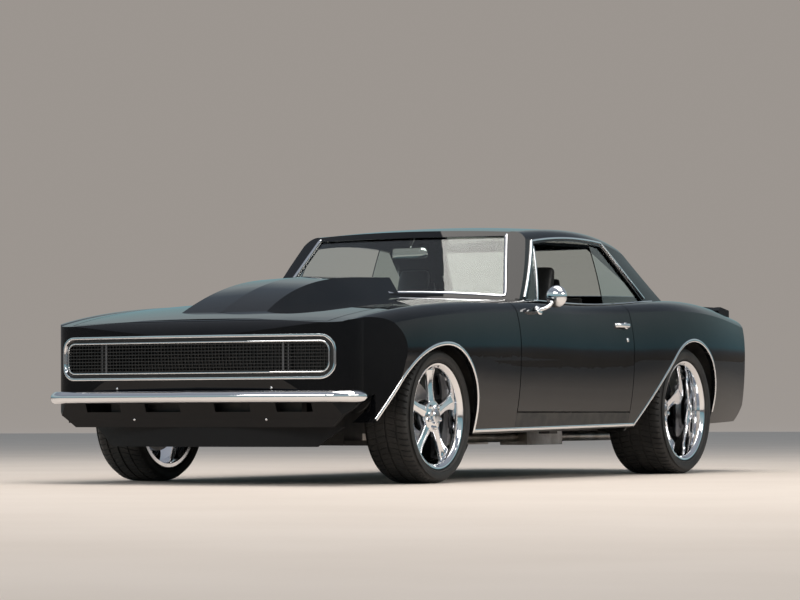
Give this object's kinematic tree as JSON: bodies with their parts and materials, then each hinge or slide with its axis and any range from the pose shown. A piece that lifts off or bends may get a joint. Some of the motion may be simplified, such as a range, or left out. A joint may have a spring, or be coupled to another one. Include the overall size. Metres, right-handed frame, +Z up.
{
  "type": "two-door muscle coupe",
  "caption": "Low black two-door hardtop coupe with a raised cowl hood, hidden headlamps, wide rear tyres, opening doors, hood and trunk, steered front wheels.",
  "frame": {"origin": "on the ground under the middle of the car", "axes": "+Z up, nose at -Y, the car's left side at +X"},
  "size_m": [1.972, 4.592, 1.3048],
  "materials": {
    "body_paint": "gloss black paint",
    "satin_black": "satin black steel",
    "chrome": "bright chrome",
    "black_plastic": "moulded black",
    "glass": "tinted glass",
    "lamp_red": "dark red lens",
    "cast_iron": "cast",
    "steel": "bare steel",
    "seat_vinyl": "black vinyl",
    "tyre": "black tread rubber"
  },
  "bodies": {
    "body": {"fender_l": "body_paint", "fender_r": "body_paint", "nose_panel": "body_paint", "front_valance": "body_paint", "chin_spoiler": "black_plastic", "grille": "black_plastic", "grille_frame": "chrome", "front_bumper": "chrome", "roof": "body_paint", "windshield": "glass", "rear_window": "glass", "quarter_glass": "glass", "quarter_l": "body_paint", "quarter_r": "body_paint", "deck_panel": "body_paint", "tail_panel": "body_paint", "tail_lamps": "lamp_red", "rear_valance": "body_paint", "rear_bumper": "chrome", "cowl": "body_paint", "floor_pan": "satin_black", "inner_fenders": "satin_black", "front_subframe": "satin_black", "engine": "cast_iron", "rear_axle": "satin_black", "driveshaft": "steel", "exhaust": "steel", "fuel_tank": "steel", "dashboard": "black_plastic", "front_seats": "seat_vinyl", "rear_seat": "seat_vinyl", "harness_bar": "satin_black", "package_shelf": "black_plastic"},
    "door_left": {"door_l": "body_paint", "vent_glass_l": "glass", "mirror_l": "chrome"},
    "door_right": {"door_r": "body_paint", "vent_glass_r": "glass", "mirror_r": "chrome"},
    "hood_body": {"hood": "body_paint"},
    "trunk_body": {"trunk_lid": "body_paint"},
    "steering_body": {"steering_wheel": "black_plastic"},
    "knuckle_left": {"knuckle_l": "cast_iron"},
    "knuckle_right": {"knuckle_r": "cast_iron"},
    "wheel_front_left": {"wheel_fl": "chrome", "tyre_fl": "tyre"},
    "wheel_front_right": {"wheel_fr": "chrome", "tyre_fr": "tyre"},
    "wheel_rear_left": {"wheel_rl": "chrome", "tyre_rl": "tyre"},
    "wheel_rear_right": {"wheel_rr": "chrome", "tyre_rr": "tyre"}
  },
  "joints": [
    {"name": "door_left_hinge", "type": "hinge", "parent": "body", "child": "door_left", "pos_m": [0.866, -0.582, 0.565], "axis": [0, 0, -1], "range_deg": [0, 65]},
    {"name": "door_right_hinge", "type": "hinge", "parent": "body", "child": "door_right", "pos_m": [-0.866, -0.582, 0.565], "axis": [0, 0, 1], "range_deg": [0, 65]},
    {"name": "hood_hinge", "type": "hinge", "parent": "body", "child": "hood_body", "pos_m": [0, -0.754, 0.922], "axis": [-1, 0, 0], "range_deg": [0, 50]},
    {"name": "trunk_hinge", "type": "hinge", "parent": "body", "child": "trunk_body", "pos_m": [0, 1.63, 0.966], "axis": [1, 0, 0], "range_deg": [0, 55]},
    {"name": "steer_left", "type": "hinge", "parent": "body", "child": "knuckle_left", "pos_m": [0.668, -1.455, 0.314], "axis": [0, 0, 1], "range_deg": [-32, 32]},
    {"name": "steer_right", "type": "hinge", "parent": "body", "child": "knuckle_right", "pos_m": [-0.668, -1.455, 0.314], "axis": [0, 0, 1], "range_deg": [-32, 32]},
    {"name": "steering_wheel_turn", "type": "hinge", "parent": "body", "child": "steering_body", "pos_m": [0.375, -0.212, 0.742], "axis": [0, 0.9272, 0.3746], "range_deg": [-512, 512]},
    {"name": "spin_front_left", "type": "hinge", "parent": "knuckle_left", "child": "wheel_front_left", "pos_m": [0.75, -1.455, 0.314], "axis": [1, 0, 0], "continuous": true},
    {"name": "spin_front_right", "type": "hinge", "parent": "knuckle_right", "child": "wheel_front_right", "pos_m": [-0.75, -1.455, 0.314], "axis": [1, 0, 0], "continuous": true},
    {"name": "spin_rear_left", "type": "hinge", "parent": "body", "child": "wheel_rear_left", "pos_m": [0.736, 1.288, 0.341], "axis": [1, 0, 0], "continuous": true},
    {"name": "spin_rear_right", "type": "hinge", "parent": "body", "child": "wheel_rear_right", "pos_m": [-0.736, 1.288, 0.341], "axis": [1, 0, 0], "continuous": true}
  ],
  "couplings": [
    {"joint": "steer_right", "follows": "steer_left", "ratio": 1},
    {"joint": "steering_wheel_turn", "follows": "steer_left", "ratio": 16}
  ]
}
